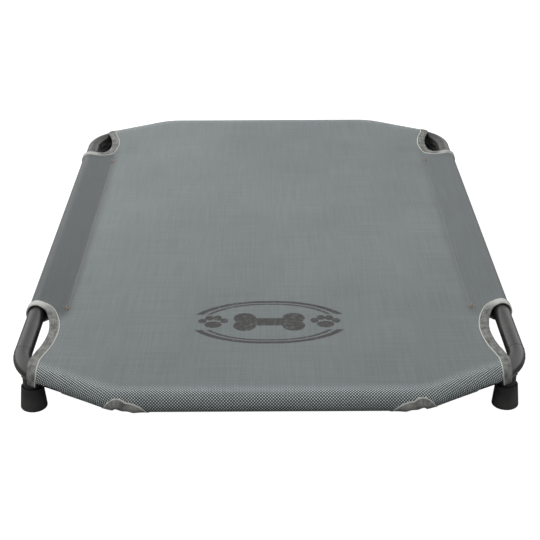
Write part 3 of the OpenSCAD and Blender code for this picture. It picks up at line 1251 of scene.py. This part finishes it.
class StitchMaker:
    """Makes rows of stitches from one modelled stitch."""

    def __init__(self, width: float = 0.55 * MM) -> None:
        """Models the stitch: a short round bar with drawn-in ends, one metre long.

        Args:
            width: Width of the thread.
        """
        bpy.ops.object.select_all(action="DESELECT")
        bpy.ops.mesh.primitive_cylinder_add(vertices=6, radius=0.5, depth=1.0,
                                            end_fill_type="NGON")
        stitch = bpy.context.object
        bpy.ops.object.mode_set(mode="EDIT")
        bpy.ops.mesh.select_all(action="DESELECT")
        bpy.ops.object.mode_set(mode="OBJECT")
        for face in stitch.data.polygons:
            face.select = abs(face.normal.z) > 0.9
        bpy.ops.object.mode_set(mode="EDIT")
        bpy.ops.mesh.inset(thickness=0.22, depth=0.0)
        bpy.ops.mesh.select_all(action="DESELECT")
        bpy.ops.object.mode_set(mode="OBJECT")
        self.points = np.array([v.co[:] for v in stitch.data.vertices])
        tips = np.linalg.norm(self.points[:, :2], axis=1) < 0.4
        self.points[~tips, 2] *= 0.62
        self.faces = [tuple(p.vertices) for p in stitch.data.polygons]
        bpy.data.objects.remove(stitch)
        self.width = width

    def row(self, name: str, places: list[StitchPlace],
            material: bpy.types.Material, width: float | None = None) -> bpy.types.Object:
        """Copies the stitch to each place.

        Args:
            name: The piece's name.
            places: Start, end and outward direction of each stitch.
            material: Its finish.
            width: Another width of thread.

        Returns:
            The piece.
        """
        w = width or self.width
        points, faces = [], []
        for start, end, out in places:
            run = end - start
            up = out.normalized()
            side = run.cross(up).normalized()
            up = side.cross(run).normalized()
            base = len(points)
            middle = (start + end) / 2
            for p in self.points:
                points.append(middle + side * (p[0] * w) + up * (p[1] * 0.7 * w) + run * p[2])
            faces.extend(tuple(base + i for i in face) for face in self.faces)
        piece = piece_from(name, np.array([tuple(p) for p in points]), faces, None, material)
        select_only(piece)
        bpy.ops.object.mode_set(mode="EDIT")
        bpy.ops.mesh.select_all(action="SELECT")
        bpy.ops.mesh.normals_make_consistent(inside=False)
        bpy.ops.object.mode_set(mode="OBJECT")
        return piece


def mirrored(piece: bpy.types.Object, name: str) -> bpy.types.Object:
    """A copy of a piece for the other side of the bed, with its own mesh.

    Args:
        piece: The piece of the right side.
        name: The copy's name.

    Returns:
        The copy.
    """
    copy = piece.copy()
    copy.data = piece.data.copy()
    copy.name = name
    copy.data.name = name
    bpy.context.scene.collection.objects.link(copy)
    copy.data.transform(Matrix.Scale(-1, 4, (1, 0, 0)))
    copy.data.flip_normals()
    return copy


# --- Building -----------------------------------------------------------------------------


class SteelFrame:
    """The tube frame, its legs, welds and rivets, and the rubber caps, as packed."""

    tubes = ("front_frame_tube", "rear_frame_tube", "front_left_leg", "front_right_leg",
             "rear_left_leg", "rear_right_leg")
    bright = ("leg_welds", "joint_rivets")
    caps = ("front_left_foot", "front_right_foot", "rear_left_foot", "rear_right_foot")

    def dress(self) -> None:
        """Gives every node of the frame its finish."""
        coat, rubber = PowderCoat().make(), Rubber().make()
        # Painted highlight: the welds and rivets get a paler, glossier coat.
        wear_and_highlight = PowderCoat("powder_coat_painted_highlight", base=0.09, rubbed=0.2, roughness=0.25).make()
        for names, material in ((self.tubes, coat), (self.bright, wear_and_highlight), (self.caps, rubber)):
            for name in names:
                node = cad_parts[name]
                for slot in node.material_slots:
                    slot.material = material
                log.info("dressed %s", name)


class Bindings:
    """The binding tapes at the corners and round the notches, with their stitches."""

    def __init__(self, edges: dict[End, CornerEdge], notches: list[Notch]) -> None:
        """Keeps the edges that are bound.

        Args:
            edges: The corner edges.
            notches: The notches.
        """
        self.edges = edges
        self.notches = notches
        self.tape = BindingTape().make()
        self.thread = Thread().make()
        self.maker = StitchMaker()

    def _both(self, piece: bpy.types.Object, end: End, part: str,
              replaces: bool) -> list[bpy.types.Object]:
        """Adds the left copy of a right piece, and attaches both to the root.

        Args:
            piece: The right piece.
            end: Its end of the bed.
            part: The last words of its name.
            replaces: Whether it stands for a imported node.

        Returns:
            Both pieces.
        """
        both = [piece, mirrored(piece, f"{end.value}_left_{part}")]
        for p, side in zip(both, ("right", "left")):
            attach(p, "root")
            if replaces:
                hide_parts(f"{end.value}_{side}_{part.replace('_tape', '')}")
            log.info("built %s", p.name)
        return both

    def _bind(self, strip: TapeStrip, tape: str, stitches: str,
              rows: list[StitchPlace]) -> list[bpy.types.Object]:
        """Builds one tape and its stitches, on both sides of the bed.

        Args:
            strip: The tape.
            tape: The last words of its name.
            stitches: The last words of its stitches' name.
            rows: Places of its stitches.

        Returns:
            The pieces.
        """
        right = f"{strip.end.value}_right_"
        pieces = self._both(strip.build(right + tape, self.tape), strip.end, tape, True)
        row = self.maker.row(right + stitches, rows, self.thread)
        return pieces + self._both(row, strip.end, stitches, False)

    def build(self) -> list[bpy.types.Object]:
        """Builds every tape and its stitches.

        Returns:
            The pieces.
        """
        pieces = []
        for end, edge in self.edges.items():
            s = edge.surface.sizes
            strip = TapeStrip(edge.surface, end, edge.line(1.3 * MM), s.tape_width, s.tape_t,
                              pucker=0.12 * MM, seed=3 if end is End.FRONT else 5)
            rows = [place for lift in (1.0 * MM, -1.0 * MM)
                    for place in strip.stitches(10.4 * MM, lift, 2.6 * MM)]
            pieces += self._bind(strip, "binding_tape", "binding_stitches", rows)
        for notch in self.notches:
            s = notch.surface.sizes
            strip = TapeStrip(notch.surface, notch.end, notch.line(1.0 * MM), s.tape_width,
                              s.tape_t, pucker=0.4 * MM, seed=7, level=0.0)
            rows = strip.stitches(10.2 * MM, 1.0 * MM, 2.2 * MM)
            pieces += self._bind(strip, "notch_binding_tape", "notch_stitches", rows)
        return pieces


class Seams:
    """The stitched lines of the cover: two along the sides and two under the ends."""

    stitch = 2.9 * MM
    gap = 0.7 * MM
    from_mouth = 16 * MM
    width = 0.5 * MM

    def __init__(self, surface: CoverSurface, maker: StitchMaker,
                 thread: bpy.types.Material) -> None:
        """Keeps what the seams follow.

        Args:
            surface: The cloth.
            maker: The stitch maker.
            thread: The thread's finish.
        """
        self.surface = surface
        self.maker = maker
        self.thread = thread
        self.tack = Thread(name="bar_tack_thread", tint=(0.30, 0.16, 0.10, 1)).make()

    def side_row(self, x: float) -> list[StitchPlace]:
        """Stitches along a side seam at a distance from the middle.

        Args:
            x: The distance.

        Returns:
            Their places.
        """
        s = self.surface.sizes
        low = s.front_sleeve_end + self.from_mouth
        high = s.length - s.rear_sleeve_end - self.from_mouth
        starts = steps(low, high, self.stitch + self.gap)
        a, b = (self.surface.place(np.full(len(starts), x), v)
                for v in (starts, starts + self.stitch))
        up = Vector((0, 0, 1))
        lift = up * (0.5 * s.fabric + 0.1 * MM)
        return [(Vector(p) + lift, Vector(q) + lift, up) for p, q in zip(a, b)]

    def bar(self, x: float, v: float) -> list[StitchPlace]:
        """A bar of close stitches across the seam's end.

        Args:
            x: Distance from the middle.
            v: Distance from the front rail's axis.

        Returns:
            Their places.
        """
        s = self.surface.sizes
        rows = []
        for k in range(8):
            y = v + (k - 3.5) * 0.7 * MM
            half = (2.0 + 0.5 * math.sin(2.3 * k)) * MM
            ends = self.surface.place(np.array([x - half, x + half]), np.array([y, y + 0.4 * MM]))
            lift = Vector((0, 0, 0.5 * s.fabric + 0.25 * MM))
            rows.append((Vector(ends[0]) + lift, Vector(ends[1]) + lift, Vector((0, 0, 1))))
        return rows

    def loose_ends(self, x: float, v: float) -> list[StitchPlace]:
        """Short thread ends at a bar of stitches, each of three stitches in a bow.

        Args:
            x: Distance of the bar from the middle.
            v: Its distance from the front rail's axis.

        Returns:
            Their places.
        """
        up = Vector((0, 0, 1))
        rows = []
        for turn, reach in ((35, 5.5), (100, 7.5), (150, 4.5), (250, 6.5), (320, 5.0)):
            angles = [math.radians(turn + bend) for bend in (0, 0, 16, 38)]
            spots = [np.array([x, v]) + k / 3 * reach * MM * np.array([math.cos(a), math.sin(a)])
                     for k, a in enumerate(angles)]
            lie = [Vector(self.surface.place(*(np.array([c]) for c in spot))[0])
                   + up * (0.9 + 0.35 * k) * MM for k, spot in enumerate(spots)]
            rows += [(p, q, up) for p, q in zip(lie, lie[1:])]
        return rows

    def build(self) -> list[bpy.types.Object]:
        """Builds the stitches of all four seams.

        Returns:
            The pieces.
        """
        s = self.surface.sizes
        x = s.seam_x - 1.2 * MM
        tacks = (s.front_sleeve_end + 8 * MM, s.length - s.rear_sleeve_end - 20 * MM)
        rows = {
            "seam_stitches": (self.side_row(x), self.thread, self.width),
            "bar_tacks": ([p for v in tacks for p in self.bar(x + 1 * MM, v)], self.tack,
                          0.9 * MM),
            "loose_ends": ([p for v in tacks for p in self.loose_ends(x, v)], self.thread,
                           self.width),
        }
        pieces = {}
        for name, (places, finish, width) in rows.items():
            right = self.maker.row(f"right_{name}", places, finish, width)
            pieces[right.name] = right
            pieces[f"left_{name}"] = mirrored(right, f"left_{name}")
        for end in End:
            pieces[f"{end.value}_seam_stitches"] = self.end_row(end)
        for name, piece in pieces.items():
            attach(piece, "root")
            if name.endswith("seam_stitches"):
                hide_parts(name.replace("stitches", "thread"))
            log.info("built %s", name)
        return list(pieces.values())

    def end_row(self, end: End) -> bpy.types.Object:
        """Stitches under an end of the deck, where the end sleeve closes.

        Args:
            end: The end of the bed.

        Returns:
            The piece.
        """
        s, surface = self.surface.sizes, self.surface
        half, stitch = 195 * MM, 3 * MM
        t = math.pi * surface.roll_r + surface.flap - 4 * MM
        drop = Vector((0, 0, -0.5 * s.fabric - 0.15 * MM))
        rows = []
        for a in steps(-half, half, 3.8 * MM):
            x = np.abs(np.array([a, a + stitch]))
            u = surface.path.depth(x) - t
            v = u if end is End.FRONT else s.length - u
            ends = surface.place(x, v)
            ends[:, 0] = [a, a + stitch]
            rows.append((Vector(ends[0]) + drop, Vector(ends[1]) + drop, Vector((0, 0, -1))))
        return self.maker.row(f"{end.value}_seam_stitches", rows, self.thread, self.width)


@dataclass(frozen=True)
class Studio:
    """A floor, a soft surround, a lamp behind the bed on the left, a weaker one in front, and
    the camera. The lamps don't show in reflections."""

    eye: tuple[float, float, float] = (0.0, -1.5195, 0.710)
    pitch: float = 25.4
    yaw: float = -0.05
    roll: float = -0.25
    lens: float = 86.0

    def floor(self) -> None:
        """Adds the floor, which is white to the camera and throws little light on the bed."""
        bpy.ops.object.select_all(action="DESELECT")
        bpy.ops.mesh.primitive_plane_add(size=60)
        floor = bpy.context.object
        floor.name = "floor"
        n = Nodes("white_floor")
        seen = n.add("LightPath").outputs["Is Camera Ray"]
        floor.data.materials.append(n.finish(Base_Color=grey(0.16), Roughness=0.9,
                                             Specular_IOR_Level=0.1, Emission_Strength=seen,
                                             Emission_Color=(1, 1, 1, 1)))

    def lamp(self, name: str, place: tuple[float, float, float], power: float,
             size: float) -> None:
        """Adds a soft square lamp that faces the bed.

        Args:
            name: The lamp's name.
            place: Where it hangs.
            power: Its power in watts.
            size: Its width in metres.
        """
        light = bpy.data.lights.new(name, "AREA")
        light.energy = power
        light.size = size
        lamp = bpy.data.objects.new(name, light)
        lamp.location = place
        lamp.rotation_euler = (-Vector(place)).to_track_quat("-Z", "Y").to_euler()
        lamp.visible_glossy = False
        bpy.context.scene.collection.objects.link(lamp)

    def surround(self) -> None:
        """Adds the surround: brightest on both sides, and a little brighter behind the bed."""
        world = bpy.data.worlds.new("white_surround")
        world.use_nodes = True
        tree = world.node_tree
        place = tree.nodes.new("ShaderNodeTexCoord")
        split = tree.nodes.new("ShaderNodeSeparateXYZ")
        tree.links.new(place.outputs["Generated"], split.inputs[0])
        shares = []
        for axis, start, low, high in ((1, -1, 0.30, 0.72), (0, 0, 0.75, 2.2)):
            side = tree.nodes.new("ShaderNodeMath")
            side.operation = "MAXIMUM" if start else "ABSOLUTE"
            side.inputs[1].default_value = -1
            ramp = tree.nodes.new("ShaderNodeMapRange")
            ramp.inputs["From Min"].default_value = start
            ramp.inputs["To Min"].default_value = low
            ramp.inputs["To Max"].default_value = high
            tree.links.new(split.outputs[axis], side.inputs[0])
            tree.links.new(side.outputs[0], ramp.inputs["Value"])
            shares.append(ramp.outputs[0])
        product = tree.nodes.new("ShaderNodeMath")
        product.operation = "MULTIPLY"
        for share, socket in zip(shares, product.inputs):
            tree.links.new(share, socket)
        tree.links.new(product.outputs[0], tree.nodes["Background"].inputs[1])
        tree.nodes["Background"].inputs[0].default_value = (1, 1, 1, 1)
        bpy.context.scene.world = world

    def build(self) -> None:
        """Adds floor, lights and camera."""
        self.floor()
        self.surround()
        scene = bpy.context.scene
        scene.view_settings.view_transform = "Standard"
        self.lamp("key", (-0.68, 1.05, 0.85), power=14.5, size=0.8)
        self.lamp("fill", (-0.20, -1.30, 1.60), power=9, size=1.2)
        camera = bpy.data.cameras.new("camera")
        camera.lens = self.lens
        eye = bpy.data.objects.new("camera", camera)
        turn = (Matrix.Rotation(math.radians(self.yaw), 4, "Z")
                @ Matrix.Rotation(math.radians(90 - self.pitch), 4, "X")
                @ Matrix.Rotation(math.radians(self.roll), 4, "Z"))
        eye.matrix_world = Matrix.Translation(self.eye) @ turn
        scene.collection.objects.link(eye)
        scene.camera = eye


def main() -> None:
    """Builds the bed's looks in order."""
    logging.basicConfig(level=logging.INFO, format="%(name)s: %(message)s")
    sizes = BedSizes.from_frame()
    log.info("sizes: %s", sizes)
    path = EndPath(sizes.half_span)
    surface = CoverSurface(sizes, path)
    edges = {
        End.FRONT: CornerEdge(End.FRONT, surface, reach=249.5 * MM, waist=240.5 * MM,
                              deepest=129 * MM),
        End.REAR: CornerEdge(End.REAR, surface, reach=244.5 * MM, waist=235 * MM,
                             deepest=100 * MM),
    }
    notches = [Notch(surface, end) for end in End]
    Studio().build()
    SteelFrame().dress()
    motif = BoneAndPaws(centre_y=sizes.front_y + MOTIF_FROM_FRONT)
    cover = Cover(surface, edges, notches, MeshFabric(motif).make())
    cloth = cover.build()
    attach(cloth, "root")
    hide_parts("deck_panel", "left_side_sleeve", "right_side_sleeve",
                "front_end_sleeve", "rear_end_sleeve")
    bindings = Bindings(edges, notches)
    trims = bindings.build()
    trims += Seams(surface, bindings.maker, bindings.thread).build()


if __name__ == "__main__":
    main()
